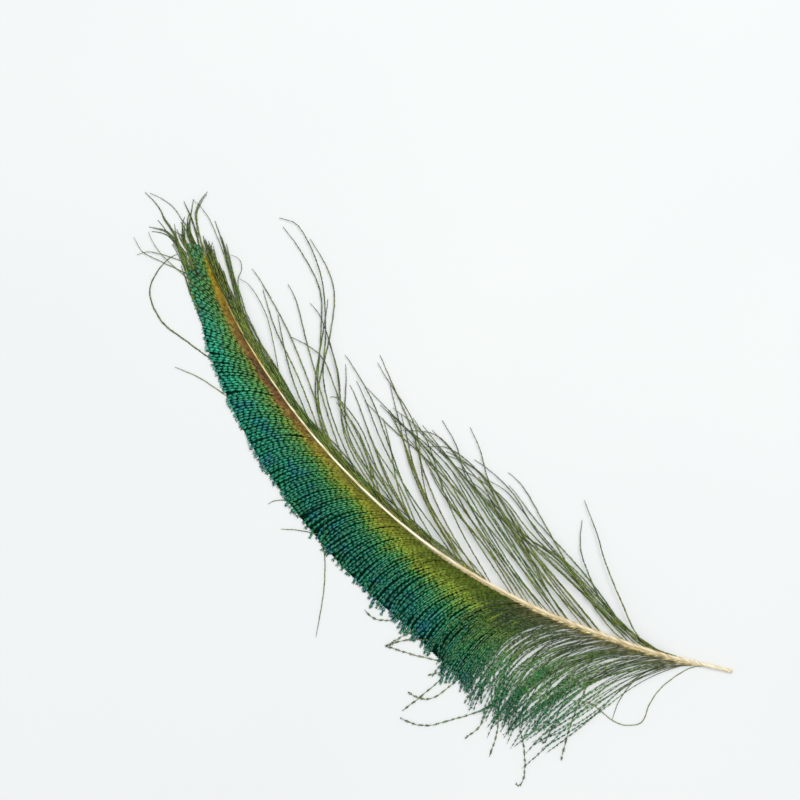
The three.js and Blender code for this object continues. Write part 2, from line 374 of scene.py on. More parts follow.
def dense_place(surface, at, share, chance):
    band_end = surface.ramp(at, BAND_WIDTH)
    past_band = surface.maths("SUBTRACT", surface.maths("ADD", share, BAND_ENDS_AT), band_end)
    patches = surface.around_zero(surface.noise(70, 3), 0.24)
    warp = surface.maths("ADD", patches, surface.around_zero(chance, 0.08))
    return surface.maths("ADD", past_band, warp)


def dense_colour(surface, at, place):
    """The band's colour, and the web's with its blue patches and its olive green near the tip."""
    band = surface.scaled(surface.ramp(at, BAND_COLOURS), surface.spread(place, 0.0, 0.3, 0.8, 1.25))
    low = surface.ramp(place, LOW_WEB_COLOURS)
    high = surface.ramp(place, HIGH_WEB_COLOURS)
    web = surface.mix(surface.spread(at, 0.5, 0.8), low, high)
    patches = surface.spread(surface.noise(150, 1), 0.52, 0.66)
    blue = surface.maths("MULTIPLY", patches, surface.spread(place, 0.5, 0.8, 0.0, 0.55))
    web = surface.mix(blue, web, srgb(6, 92, 132))
    web = surface.mix(surface.spread(at, 0.78, 0.9, 0.0, 0.75), web, srgb(84, 126, 56))
    return surface.mix(surface.spread(place, *BAND_EDGE), band, web)


def dense_gaps(surface, at, place):
    """The share of a barbule's length from which painted shade darkens it."""
    gap_from = surface.spread(place, 0.22, 0.36, surface.ramp(at, BAND_GAPS_FROM), WEB_GAPS_FROM)
    gap_from = surface.maths("ADD", gap_from, surface.around_zero(surface.noise(600, 1), 0.5))
    fuller = surface.spread(surface.attribute("bead"), 0.4, 0.95, 0.0, 0.28)
    return surface.maths("ADD", gap_from, fuller)


def dense_material():
    """The dense vane: a satin band of olive, gold and copper beside the shaft, then green, then teal."""
    surface = Surface("iridescent_barbs", Metallic=0.3, Specular_IOR_Level=0.05)
    at, share, chance = map(surface.attribute, ("at", "share", "chance"))
    place = dense_place(surface, at, share, chance)
    flecks = surface.noise(420, 1)
    colour = surface.varied(dense_colour(surface, at, place), 0.92, (flecks, 1.3), (chance, 0.3))
    # A painted highlight along the ridges of the fullest beads, yellow-green next to the band and mint
    # beyond it.
    glint_colour = surface.mix(surface.spread(place, 0.34, 0.56), srgb(206, 220, 110), srgb(170, 236, 196))
    colour = glinting(surface, colour, glint_colour, surface.ramp(place, GLINTS))
    # Painted shade at the barbules' ends and in the pinches between beads, olive in the band and dark green
    # in the web.
    pinches = surface.spread(surface.maths("ADD", place, surface.around_zero(chance, 0.2)), 0.2, 0.36)
    gap_shade_colour = surface.mix(surface.spread(place, 0.2, 0.32), srgb(46, 56, 10), srgb(0, 36, 23))
    shaded = flue_shade(surface, colour, gap_shade_colour, dense_gaps(surface, at, place), pinches)
    near_root = surface.spread(share, 0.02, 0.045, 1.0, 0.0)
    bases = surface.maths("MULTIPLY", near_root, surface.spread(at, 0.4, 0.5, 1.0, 0.0))
    return silky(surface, surface.mix(bases, shaded, srgb(236, 214, 170)))


def loose_material():
    """The loose outer barbs near the quill: cream at their roots, then olive, then green and teal."""
    surface = Surface("loose_barbs", Metallic=0.2, Specular_IOR_Level=0.15)
    share, chance = map(surface.attribute, ("share", "chance"))
    patches = surface.around_zero(surface.noise(90, 3), 0.5)
    warp = surface.maths("MULTIPLY", patches, surface.spread(share, 0.05, 0.3))
    colour = surface.ramp(surface.maths("ADD", share, warp), [
        (0.0, (240, 222, 180)), (0.03, (226, 204, 150)), (0.06, (110, 108, 66)), (0.30, (84, 104, 68)),
        (0.46, (108, 132, 62)), (0.62, (80, 142, 64)), (0.82, (34, 134, 84)), (1.0, (22, 102, 82)),
    ])
    colour = surface.varied(colour, 1.0, (surface.noise(420, 1), 1.8), (chance, 0.8))
    # A painted highlight on the fullest beads from mid-length on, then painted shade at the barbules' ends
    # and in the pinches.
    colour = glinting(surface, colour, srgb(196, 232, 164), surface.spread(share, 0.35, 0.6, 0.0, 0.5))
    pinches = surface.spread(share, 0.3, 0.5, 0.1, 1.0)
    return silky(surface, flue_shade(surface, colour, srgb(6, 40, 24), 0.3, pinches))


def herl_material():
    """The long inner herls and the tip's tuft: tan at their roots, then olive to dark green."""
    surface = Surface("herls", Metallic=0.1, Specular_IOR_Level=0.25)
    share, chance = map(surface.attribute, ("share", "chance"))
    colour = surface.ramp(share, [
        (0.0, (206, 182, 124)), (0.03, (136, 126, 66)), (0.10, (120, 132, 54)), (0.55, (134, 152, 66)),
        (1.0, (100, 120, 70)),
    ])
    greener = surface.spread(chance, 0.4, 0.85)
    colour = surface.mix(greener, colour, srgb(150, 220, 176), "MULTIPLY")
    yellower = surface.spread(chance, 0.0, 0.3, 1.0, 0.0)
    colour = surface.mix(yellower, colour, srgb(255, 250, 150), "MULTIPLY")
    colour = surface.varied(colour, 0.86, (surface.noise(220, 2), 2.2))
    # A painted highlight along the ridges of the fullest beads, then painted shade at the barbules' ends and
    # in the pinches.
    colour = glinting(surface, colour, srgb(190, 202, 108), 0.4)
    pinches = surface.spread(share, 0.1, 0.6, 0.1, 0.6)
    return silky(surface, flue_shade(surface, colour, srgb(18, 28, 8), 0.26, pinches))


# ---- Meshes ----

GROUND_GAP = 0.05


class Gathered:
    """Parts of one mesh, gathered one after another."""

    def __init__(self):
        self.parts = []
        self.size = 0

    def add(self, points, triangles, uv, smooth, **values):
        self.parts.append((points, triangles + self.size, uv, np.full(len(triangles), smooth), values))
        self.size += len(points)

    def joined(self):
        points, triangles, uv, smooth, values = zip(*self.parts)
        attributes = {label: np.concatenate([part[label] for part in values]) for label in values[0]}
        return SimpleNamespace(
            points=np.vstack(points), triangles=np.vstack(triangles), uv=np.vstack(uv),
            smooth=np.concatenate(smooth), attributes=attributes,
        )


def make_piece(name, shape, material, replaced=()):
    """A Blender mesh from arrays, which rides on the feather's one body."""
    points = np.array(shape.points)
    points[:, :2] += QUILL_END
    points[:, 2] = np.maximum(points[:, 2], GROUND_GAP)
    mesh = bpy.data.meshes.new(name)
    mesh.vertices.add(len(points))
    mesh.vertices.foreach_set("co", (points * METRES).astype(np.float32).ravel())
    mesh.loops.add(shape.triangles.size)
    mesh.loops.foreach_set("vertex_index", shape.triangles.astype(np.int32).ravel())
    mesh.polygons.add(len(shape.triangles))
    mesh.polygons.foreach_set("loop_start", np.arange(0, shape.triangles.size, 3, dtype=np.int32))
    mesh.update(calc_edges=True)
    mesh.polygons.foreach_set("use_smooth", shape.smooth)
    for label, values in shape.attributes.items():
        data = mesh.attributes.new(label, "FLOAT", "POINT").data
        data.foreach_set("value", np.asarray(values, np.float32))
    layer = mesh.uv_layers.new(name="OFBake")
    layer.data.foreach_set("uv", shape.uv[shape.triangles.ravel()].astype(np.float32).ravel())
    mesh.materials.append(material)
    mesh.validate()
    piece = bpy.data.objects.new(name, mesh)
    bpy.context.scene.collection.objects.link(piece)
    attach(piece, "root")
    if replaced:
        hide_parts(*replaced)


def loft_triangles(rings, sides):
    """Triangles of a tube through rings of points that turn anticlockwise seen from its far end."""
    near = (np.arange(rings - 1)[:, None] * sides + np.arange(sides)).ravel()
    beside = (np.arange(rings - 1)[:, None] * sides + (np.arange(sides) + 1) % sides).ravel()
    walls = np.stack([near, beside, beside + sides, near, beside + sides, near + sides], -1)
    fan = np.arange(1, sides - 1)
    last = (rings - 1) * sides
    start = np.stack([np.zeros_like(fan), fan + 1, fan], -1)
    end = np.stack([np.full_like(fan, last), last + fan, last + fan + 1], -1)
    return np.vstack([walls.reshape(-1, 3), start, end])


# ---- The shaft ----

SHAFT_SIDES = 24
SHAFT_STEPS = 280
SHAFT_FLATNESS = 0.92  # its height as a share of its width
GROOVE_DEPTH = 0.3  # of the groove along its underside, as a share of the radius
GROOVE_WIDTH = 0.45  # in radians round the shaft
GROOVE_STARTS = (0.03, 0.12)
GROOVE_TURN = 1.5 * np.pi
HOLLOW_RADIUS = 0.55 * SHAFT_RADIUS[0][1]  # of the hollow in the quill's cut end
HOLLOW_RINGS = [(2.0, 0.02), (2.0, 0.5), (0.0, 0.9)]  # each a depth and a share of the hollow's radius
TIP_RADIUS = 0.12
TIP_TAPER = 6.0  # the most that the radius may grow from the tip back, over the whole length


def shaft_rings():
    """Places and radii of the rings of points, from the bottom of the hollow to the tip."""
    depth, share = np.array(HOLLOW_RINGS).T
    at = np.linspace(0, 1, SHAFT_STEPS + 1)
    radius = np.minimum(shaft_radius(at), TIP_RADIUS + (1 - at) * TIP_TAPER)
    return np.r_[depth / SHAFT_LENGTH, at], np.r_[HOLLOW_RADIUS * share, radius]


def shaft_shape():
    at, radius = shaft_rings()
    around = np.arange(SHAFT_SIDES) / SHAFT_SIDES
    turn = 2 * np.pi * around
    groove = np.exp(-(((turn - GROOVE_TURN) / GROOVE_WIDTH) ** 2))
    depth = GROOVE_DEPTH * smoothstep(*GROOVE_STARTS, at)
    shape = radius[:, None] * (1 - depth[:, None] * groove)
    middle, heading = on_shaft(at)
    sideways = np.stack([-np.sin(heading), np.cos(heading)], -1)
    plane = middle[:, None] + sideways[:, None] * (shape * np.cos(turn))[..., None]
    height = root_height(at)[:, None] + SHAFT_FLATNESS * shape * np.sin(turn)
    points = np.concatenate([plane, height[..., None]], -1).reshape(-1, 3)
    uv = np.stack([np.repeat(np.linspace(0, 1, len(at)), SHAFT_SIDES), np.tile(around, len(at))], -1)
    gathered = Gathered()
    gathered.add(points, loft_triangles(len(at), SHAFT_SIDES), uv, True, at=np.repeat(at, SHAFT_SIDES))
    return gathered.joined()


# ---- Lines of barbs ----

ROOT_INSET = 0.75  # how far out in the shaft a barb starts, as a share of the shaft's radius


def barb_angles(table, at):
    """Angles to the shaft of barbs, one row for each: at the root, halfway along and at the tip."""
    return np.stack([looked_up(table, at, column) for column in (ROOT_ANGLE, MIDDLE_ANGLE, TIP_ANGLE)], -1)


def barb_lines(at, side, lengths, angles, steps, sway=0.0):
    """Lines in the plane of barbs on one side of the shaft. Sway, in degrees, is added at each step."""
    middle, heading = on_shaft(at)
    sideways = np.stack([-np.sin(heading), np.cos(heading)], -1)
    start = middle + side * sideways * (ROOT_INSET * shaft_radius(at))[:, None]
    share = (np.arange(steps) + 0.5) / steps
    weights = np.stack([np.interp(share, (0, 0.5, 1), knot) for knot in np.eye(3)])
    direction = heading[:, None] + side * np.radians(angles @ weights + sway)
    moves = np.stack([np.cos(direction), np.sin(direction)], -1) * (lengths / steps)[:, None, None]
    return np.concatenate([start[:, None], start[:, None] + np.cumsum(moves, 1)], 1)


def in_clumps(lines, members, pull, rng):
    """Lets neighbouring barbs lean together in groups. Pull is a share for each point along them, the
    same for all the barbs or in a row for each."""
    group = np.cumsum(rng.random(len(lines)) < 1 / members)
    group -= group[0]
    middles = np.zeros((group[-1] + 1, *lines.shape[1:]))
    np.add.at(middles, group, lines)
    middles /= np.bincount(group)[:, None, None]
    return lines + (middles[group] - lines) * pull[..., None]


def with_heights(lines, heights):
    return np.concatenate([lines, heights[..., None]], -1)


def directions(lines):
    """Unit directions ahead, to the left and upward at each point of lines in space."""
    ahead = unit(np.gradient(lines, axis=1))
    left = unit(np.stack([-ahead[..., 1], ahead[..., 0], np.zeros(ahead.shape[:2])], -1))
    return ahead, left, np.cross(ahead, left)


# ---- Flue: the rod of each barb and its barbules ----

WIDEST_AT = 0.4  # share of a barbule's length, from its root, at which it is widest
CORNER_REACH = [0, WIDEST_AT, 1, WIDEST_AT]  # of a barbule's root, right corner, tip and left corner
CORNERS = len(CORNER_REACH)
BARBULE_FACES = np.array([(0, 1, 2), (0, 2, 3), (0, 3, 1), (2, 1, 3)])
BARBULE_SCATTER = (0.1, 0.9)  # of its root, in the spacing that it has to itself
BARBULE_VARIETY = (0.85, 1.1)  # of its length
BARE_PROFILE = [(0, 0.1), (0.1, 0.25), (0.4, 0.4), (0.6, 0.95), (0.93, 1.0), (1, 0.4)]
BEAD_VARIETY = 0.3  # how much the length of a bead varies from barb to barb
BEADS_STAGGERED = 0.5  # by this share of a bead from one barb to the next, as bricks are
BEADS_SCATTERED = 0.4  # by up to this share of a bead more
DRIFT, DRIFT_RATE, DRIFT_OFFSET = 0.5, 0.3, 40  # of the beads along a barb: radians, radians a millimetre
ROLL_RATE, ROLL_OFFSET = 0.9, 50  # of the rocking of a barb's flue: radians a millimetre, radians
ROD_UV_LENGTH, ROD_UV_WIDTH = 0.98, 0.1  # shares of a barb's row of the texture
BARBULE_UV_WIDTH = 0.45 / 1.4  # the same, for a barbule of the flue's length


def tubes(lines, across):
    """Closed tubes along lines in space. Across holds each corner's offset to the left and upward."""
    count, rings = lines.shape[:2]
    sides = across.shape[-2]
    _, left, up = directions(lines)
    points = lines[:, :, None] + across[..., :1] * left[:, :, None] + across[..., 1:] * up[:, :, None]
    starts = np.arange(count)[:, None, None] * rings * sides
    return points.reshape(-1, 3), (starts + loft_triangles(rings, sides)).reshape(-1, 3)


def add_tubes(gathered, lines, across, at, chance, bead, reach):
    """Tubes with their patterns' values and a row of the texture for each."""
    count, rings, sides = across.shape[:3]
    points, triangles = tubes(lines, across)
    share = np.broadcast_to(np.linspace(0, 1, rings)[:, None], (count, rings, sides))
    beside = ROD_UV_WIDTH * np.cos(2 * np.pi * np.arange(sides) / sides)
    row = np.arange(count)[:, None, None] + 0.5 + beside
    uv = np.stack([ROD_UV_LENGTH * share, np.broadcast_to(row / count, share.shape)], -1)
    whole = np.ones(share.shape)
    gathered.add(
        points, triangles, uv.reshape(-1, 2), True,
        at=(whole * at[:, None, None]).ravel(), chance=(whole * chance[:, None, None]).ravel(),
        share=share.ravel(), bead=(whole * bead[..., None]).ravel(), reach=reach * whole.ravel(),
    )


def bead_turn(distance, period, phase):
    """How far a barb has turned, in radians, at a distance along it. It is full at each half turn."""
    drift = DRIFT * np.sin(DRIFT_RATE * distance + DRIFT_OFFSET * phase)
    return np.pi * (distance / period + phase) + drift


def barbule_size(flue, at, share):
    """Length of barbules as a share of the longest."""
    full = looked_up(flue.profile, share)
    if flue.full_from is None:
        return full
    bare = looked_up(BARE_PROFILE, share)
    return bare + (full - bare) * smoothstep(*flue.full_from, at)


def flue_shape(lines, at, flue, rng):
    """Barbs along lines in space, each a thin rod with a row of flat barbules along either side."""
    count, rings = lines.shape[:2]
    barbs = SimpleNamespace(lines=lines, at=at)
    barbs.lengths = np.linalg.norm(np.diff(lines, axis=1), axis=2).sum(1)
    barbs.ahead, barbs.left, _ = directions(lines)
    barbs.chance = rng.random(count)
    barbs.phase = BEADS_STAGGERED * np.arange(count) + BEADS_SCATTERED * rng.random(count)
    barbs.period = looked_up(flue.bead_period, at) * (1 + BEAD_VARIETY * rng.uniform(-0.5, 0.5, count))
    gathered = Gathered()
    share = np.linspace(0, 1, rings)
    around = np.radians([90, 210, 330])
    corners = np.stack([np.cos(around), np.sin(around)], -1)
    across = np.broadcast_to(looked_up(flue.rod, share)[:, None, None] * corners, (count, rings, 3, 2))
    turn = bead_turn(share * barbs.lengths[:, None], barbs.period[:, None], barbs.phase[:, None])
    bead = np.abs(np.cos(turn))
    add_tubes(gathered, lines, across, at, barbs.chance, bead, 0)
    for side in (1, -1):
        add_barbules(gathered, barbs, flue, side, rng)
    return gathered.joined()


def barbule_places(barbs, spacing, rng):
    """For a row of barbules: the number of each one's barb, the distance along that and the share of it."""
    per_barb = np.maximum((barbs.lengths / spacing).astype(int), 1)
    barb = np.repeat(np.arange(len(per_barb)), per_barb)
    order = np.arange(len(barb)) - np.repeat(np.cumsum(per_barb) - per_barb, per_barb)
    distance = (order + rng.uniform(*BARBULE_SCATTER, len(barb))) * spacing
    return barb, distance, distance / barbs.lengths[barb]


def barbule_roots(barbs, barb, share):
    """Points on barbs at shares of their length, with the directions ahead, sideways and upward there."""
    steps = barbs.lines.shape[1] - 1
    place = np.minimum(share * steps, steps - 1e-6)
    low = place.astype(int)
    part = (place - low)[:, None]
    root, ahead, left = (
        values[barb, low] * (1 - part) + values[barb, low + 1] * part
        for values in (barbs.lines, barbs.ahead, barbs.left)
    )
    forward, sideways = unit(ahead), unit(left)
    return root, forward, sideways, np.cross(forward, sideways)


def turned(first, second, angle):
    """Two directions at right angles, each turned by an angle, the first one towards the second."""
    cosine, sine = np.cos(angle)[:, None], np.sin(angle)[:, None]
    return cosine * first + sine * second, cosine * second - sine * first


def add_barbules(gathered, barbs, flue, side, rng):
    """A row of flat barbules along one side of each barb."""
    barb, distance, share = barbule_places(barbs, flue.spacing, rng)
    number = len(barb)
    root, forward, sideways, upward = barbule_roots(barbs, barb, share)
    turn = bead_turn(distance, barbs.period[barb], barbs.phase[barb])
    bead = np.abs(np.cos(turn))
    rocking = np.radians(flue.roll) * np.sin(ROLL_RATE * distance + ROLL_OFFSET * barbs.phase[barb])
    flat, normal = turned(sideways, upward, rocking + flue.twist * turn)
    droop = flue.droop - flue.bead_lift * (bead - 0.5) + rng.normal(0, flue.untidy, number)
    outward, facing = turned(side * flat, normal, -np.radians(droop))
    spread = flue.spread + rng.normal(0, flue.untidy, number)
    direction, _ = turned(forward, outward, np.radians(spread))
    size = flue.length * barbule_size(flue, barbs.at[barb], share) * rng.uniform(*BARBULE_VARIETY, number)
    size = (size * (1 - flue.bead_depth * (1 - bead)))[:, None]
    middle = root + WIDEST_AT * size * direction - flue.thickness * facing
    half = 0.5 * flue.width * np.cross(facing, direction)
    kites = np.stack([root, middle - half, root + size * direction, middle + half], 1)
    faces = (np.arange(number)[:, None, None] * CORNERS + BARBULE_FACES).reshape(-1, 3)

    moved = kites - root[:, None]
    along = distance[:, None] + (moved * forward[:, None]).sum(-1)
    along /= (barbs.lengths[barb] + flue.length)[:, None]
    beside = BARBULE_UV_WIDTH * side * (moved * outward[:, None]).sum(-1) / flue.length
    uv = np.stack([along, (barb[:, None] + 0.5 + beside) / len(barbs.lengths)], -1)
    values = {"at": barbs.at[barb], "chance": barbs.chance[barb], "share": share, "bead": bead}
    gathered.add(
        kites.reshape(-1, 3), faces, uv.reshape(-1, 2), False, reach=np.tile(CORNER_REACH, number),
        **{label: np.repeat(value, CORNERS) for label, value in values.items()},
    )


def ribbon_shape(lines, at, half_widths, thickness, rng):
    """A closed flat ribbon along each line, given the values at which a barb's material paints the full
    shade of the gaps between barbs.
    """
    level = np.zeros_like(half_widths)
    rise = np.full_like(half_widths, thickness / 2)
    corners = [half_widths, level, level, rise, -half_widths, level, level, -rise]
    across = np.stack(corners, -1).reshape(*half_widths.shape, 4, 2)
    gathered = Gathered()
    add_tubes(gathered, lines, across, at, rng.random(len(lines)), level, 1)
    return gathered.joined()


# ---- The dense vane ----

DENSE_AT = (0.24, 0.95)
DENSE_GAPS = [(0.24, 1.0), (0.4, 1.1), (0.55, 1.3), (0.86, 1.35), (0.92, 2.0), (1.0, 3.2)]
DENSE_STEPS = 26
DENSE_FLUE = SimpleNamespace(
    spacing=0.26, length=1.42, width=0.34, thickness=0.08, spread=40, droop=20, untidy=11,
    profile=[(0, 0.45), (0.15, 0.6), (0.3, 0.95), (0.7, 1.0), (0.92, 1.15), (1, 1.0)],
    full_from=(0.1, 0.24),
    rod=[(0, 0.2), (0.05, 0.16), (0.3, 0.14), (1, 0.05)],
    bead_period=[(0.3, 2.3), (0.52, 2.4), (0.68, 3.0)], bead_depth=0.35, bead_lift=30,
    twist=0, roll=16,
)
RAGGED_BY = [(0.25, 0.08), (0.42, 0.055), (0.55, 0.018), (0.84, 0.013), (0.9, 0.14)]  # share of the lengths
TUFT_MEMBERS = 4
TUFT_PULL = [(0.3, 0.45), (0.5, 0.3), (0.6, 0.0)]  # by which the ends of neighbouring barbs lean together
TUFT_PART = (0.84, 1.0)  # share of the barbs over which they come together
DENSE_BEND = (4, 9, 16)  # degrees beyond the table's angles, at the root, halfway along and at the tip
DENSE_BEND_STRENGTH = [(0.3, 0), (0.45, 1), (0.7, 1), (0.86, 0)]
DENSE_SHORTENED_BY = 0.07  # where the bend is at full strength, so that the vane keeps its width
DENSE_CUT = [(0.78, 1), (0.86, 0.92), (0.9, 0.75), (0.93, 0.45), (0.95, 0.25)]  # of the table's lengths
DENSE_TIP_CURL = [(0.25, 6), (0.38, 5), (0.5, 2.5), (0.6, 1)]  # degrees by which the barbs' ends vary
DENSE_CURL = (0, 0.4, 3.2)  # degrees by which stretches of the vane curl, at the same three points
DENSE_SWELL = 1.2  # degrees by which neighbouring barbs swing together
DENSE_WAVER = 1.8  # degrees by which each barb swings on its own
RAGGED_WAVES, CURL_WAVES, SWELL_WAVES = 14, 9, 18  # over the shaft's length
SWELL_TURNS, WAVER_TURNS = 1.2, 1.6  # swings along a barb
DENSE_UNEVENNESS = 0.15  # of the gaps between barbs
DENSE_HEIGHTS = 0.2  # variation of the height at a barb's tip
LOWER_PIECE = 0.45  # share of the barbs that the first of the two pieces has
UNDER_AT = (0.25, 0.93)
UNDER_FULL_FROM = (0.22, 0.31)
UNDER_SPACING = 1.35
UNDER_HALF_WIDTH = [(0, 0.3), (0.2, 0.6), (0.5, 1.1), (0.9, 1.25), (1, 0.8)]
UNDER_THICKNESS = 0.12
UNDER_DROP = 0.55
UNDER_LENGTH = 0.975
UNDER_LOWEST = 0.3
UNDER_FLAT_FROM = 0.3
VANE_FLAT_FROM = 0.55
VANE_HEIGHT = 0.95


def places_along(ends, gaps, unevenness, rng):
    """Places on the shaft, with gaps in millimetres that vary along it and from one to the next."""
    places = [ends[0]]
    while places[-1] < ends[1]:
        gap = looked_up(gaps, places[-1]) * rng.uniform(1 - unevenness, 1 + unevenness)
        places.append(places[-1] + gap / SHAFT_LENGTH)
    return np.array(places[:-1])


def vane_heights(at, share):
    """Heights of the dense vane's barbs, which slope down from the shaft and then lie flat."""
    sunk = np.maximum(1 - share / VANE_FLAT_FROM, 0) ** 2
    return VANE_HEIGHT + (root_height(at) - VANE_HEIGHT)[:, None] * sunk


def dense_courses(at):
    """Lengths and angles of the dense vane's barbs."""
    bend = looked_up(DENSE_BEND_STRENGTH, at)
    lengths = looked_up(OUTER_BARBS, at, LENGTH) * (1 - DENSE_SHORTENED_BY * bend) * looked_up(DENSE_CUT, at)
    return lengths, barb_angles(OUTER_BARBS, at) + bend[:, None] * DENSE_BEND


def dense_lines(at, rng):
    count = len(at)
    lengths, angles = dense_courses(at)
    ragged = looked_up(RAGGED_BY, at) * (wandering(at, RAGGED_WAVES, rng) + rng.normal(0, 1, count))
    curl = wandering(at, CURL_WAVES, rng)[:, None] * DENSE_CURL
    tip_curl = looked_up(DENSE_TIP_CURL, at) * rng.normal(0, 1, count)
    angles = angles + curl + tip_curl[:, None] * [0, 0, 1]
    share = np.linspace(0, 1, DENSE_STEPS + 1)
    swell = DENSE_SWELL * wandering(at, SWELL_WAVES, rng)[:, None]
    swell = swell * np.sin(2 * np.pi * SWELL_TURNS * share[1:])
    turns = WAVER_TURNS * share[1:] + rng.random((count, 1))
    waver = rng.normal(0, DENSE_WAVER, (count, 1)) * np.sin(2 * np.pi * turns)
    lines = barb_lines(at, OUTER, lengths * (1 + ragged), angles, DENSE_STEPS, swell + waver)
    pull = looked_up(TUFT_PULL, at)[:, None] * smoothstep(*TUFT_PART, share)
    lines = in_clumps(lines, TUFT_MEMBERS, pull, rng)
    offsets = rng.normal(0, DENSE_HEIGHTS, count)[:, None] * share
    return with_heights(lines, vane_heights(at, share) + offsets)


def dense_vane():
    rng = np.random.default_rng(DENSE_SEED)
    at = places_along(DENSE_AT, DENSE_GAPS, DENSE_UNEVENNESS, rng)
    lines = dense_lines(at, rng)
    material = dense_material()
    divided = int(LOWER_PIECE * len(at))
    for name, part, replaced in (
        ("dense_vane_lower", slice(0, divided), ("outer_vane",)),
        ("dense_vane_upper", slice(divided, None), ()),
    ):
        shape = flue_shape(lines[part], at[part], DENSE_FLUE, rng)
        make_piece(name, shape, material, replaced)
    make_piece("dense_vane_under", under_layer(rng), material)


def under_layer(rng):
    """Ribbons that close the vane beneath its barbs; beyond the satin band they are coloured all over with
    the painted shade of the gaps between barbs.
    """
    at = places_along(UNDER_AT, [(0, UNDER_SPACING)], 0, rng)
    share = np.linspace(0, 1, DENSE_STEPS + 1)
    lengths, angles = dense_courses(at)
    lines = barb_lines(at, OUTER, UNDER_LENGTH * lengths, angles, DENSE_STEPS)
    heights = np.maximum(vane_heights(at, UNDER_LENGTH * share) - UNDER_DROP, UNDER_LOWEST)
    half_widths = looked_up(UNDER_HALF_WIDTH, share) * smoothstep(*UNDER_FULL_FROM, at)[:, None]
    return ribbon_shape(with_heights(lines, heights), at, half_widths, UNDER_THICKNESS, rng)


# ---- The loose barbs near the quill ----

LOOSE_AT = (0.045, 0.305)
LOOSE_COUNT = 178
LOOSE_STEPS = 30
LOOSE_SCATTER = 0.0015  # of the barbs' places on the shaft
LOOSE_VARIETY = (-0.02, 0.06)  # mean and variation of the lengths, as shares of the table's
# Degrees at the root, halfway along and at the tip: by which barbs curl, by which each angle varies on its
# own, and by which a barb leaves its neighbours' course before it comes back to it.
LOOSE_CURL, LOOSE_UNTIDY, LOOSE_CROSSING = (0, 3, 7), (1.8, 3, 6), (6, 10, -16)
LOOSE_CURL_WAVES = 14  # over the shaft's length
LOOSE_CLUMP_MEMBERS = 2.6
LOOSE_CLUMP_PULL = 0.12
LOOSE_CLUMP_PART = (0.35, 0.9)  # share of the barbs over which they come together
LOOSE_LAYERS = (0.5, 2.2)  # lowest and highest of the heights at their tips
LOOSE_FLUE = SimpleNamespace(
    spacing=0.44, length=1.0, width=0.42, thickness=0.07, spread=34, droop=8, untidy=9,
    profile=DENSE_FLUE.profile, full_from=(0.13, 0.25),
    rod=[(0, 0.28), (0.04, 0.2), (0.5, 0.15), (1, 0.06)],
    bead_period=[(0, 2.8)], bead_depth=0.6, bead_lift=10,
    twist=1, roll=15,
)


def loose_lines(at, rng):
    count = len(at)
    lengths = looked_up(OUTER_BARBS, at, LENGTH) * (1 + rng.normal(*LOOSE_VARIETY, count))
    curl = wandering(at, LOOSE_CURL_WAVES, rng) + rng.normal(0, 1, count)
    angles = barb_angles(OUTER_BARBS, at) + curl[:, None] * LOOSE_CURL
    angles += rng.normal(0, 1, (count, 3)) * LOOSE_UNTIDY
    angles += rng.normal(0, 1, (count, 1)) * LOOSE_CROSSING
    share = np.linspace(0, 1, LOOSE_STEPS + 1)
    lines = barb_lines(at, OUTER, lengths, angles, LOOSE_STEPS)
    pull = LOOSE_CLUMP_PULL * smoothstep(*LOOSE_CLUMP_PART, share)
    lines = in_clumps(lines, LOOSE_CLUMP_MEMBERS, pull, rng)
    layer = rng.uniform(*LOOSE_LAYERS, count)
    heights = layer[:, None] + (root_height(at) - layer)[:, None] * (1 - share) ** 2
    return with_heights(lines, heights)


def loose_barbs():
    rng = np.random.default_rng(LOOSE_SEED)
    at = np.linspace(*LOOSE_AT, LOOSE_COUNT) + rng.normal(0, LOOSE_SCATTER, LOOSE_COUNT)
    at = np.sort(at)
    lines = loose_lines(at, rng)
    material = loose_material()
    for name, part, replaced in (
        ("loose_barbs_first", slice(0, None, 2), ("base_barbs",)),
        ("loose_barbs_second", slice(1, None, 2), ()),
    ):
        shape = flue_shape(lines[part], at[part], LOOSE_FLUE, rng)
        make_piece(name, shape, material, replaced)


# ---- Strands placed by pixels of the photograph, each from its root to its tip ----

SINGLE_HERLS = [
    [(690, 662), (642, 641), (620, 600), (604, 560), (597, 535), (584, 500)],
    [(668, 656), (640, 640), (620, 622), (600, 600), (583, 560), (580, 540), (582, 520)],
    [(590, 632), (540, 575), (505, 520), (488, 480), (480, 450), (470, 427)],
    [(560, 617), (510, 545), (480, 500), (465, 475), (456, 445), (442, 420)],
    [(365, 488), (338, 430), (324, 380), (326, 330), (321, 275), (300, 228), (279, 218)],
    [(350, 474), (330, 420), (309, 350), (297, 303), (288, 284)],
    [(338, 460), (318, 405), (290, 335), (262, 283), (252, 269)],
    [(328, 450), (300, 380), (276, 330), (263, 290)],
    [(318, 440), (295, 385), (285, 350), (278, 315)],
]
LOWER_HERLS = [
    [(676, 657), (640, 640), (600, 600), (565, 562), (535, 527), (508, 493), (488, 480)],
    [(655, 652), (615, 622), (570, 572), (530, 532), (505, 500), (480, 480), (455, 466)],
    [(640, 648), (605, 615), (560, 562), (520, 530), (487, 480), (465, 463), (438, 452)],
    [(600, 636), (572, 600), (528, 545), (500, 500), (475, 468), (448, 448), (424, 447)],
    [(585, 630), (560, 598), (520, 543), (493, 498), (463, 463), (436, 435), (402, 430)],
    [(570, 622), (545, 588), (505, 535), (477, 490), (455, 455), (432, 430)],
    [(556, 616), (530, 580), (498, 533), (470, 490), (445, 455), (415, 425), (393, 408)],
    [(540, 609), (515, 575), (480, 522), (452, 480), (425, 447), (398, 420), (367, 388)],
    [(525, 602), (503, 570), (470, 518), (445, 475), (418, 440), (380, 405)],
    [(510, 596), (475, 540), (447, 492), (424, 450), (400, 422), (388, 412)],
]
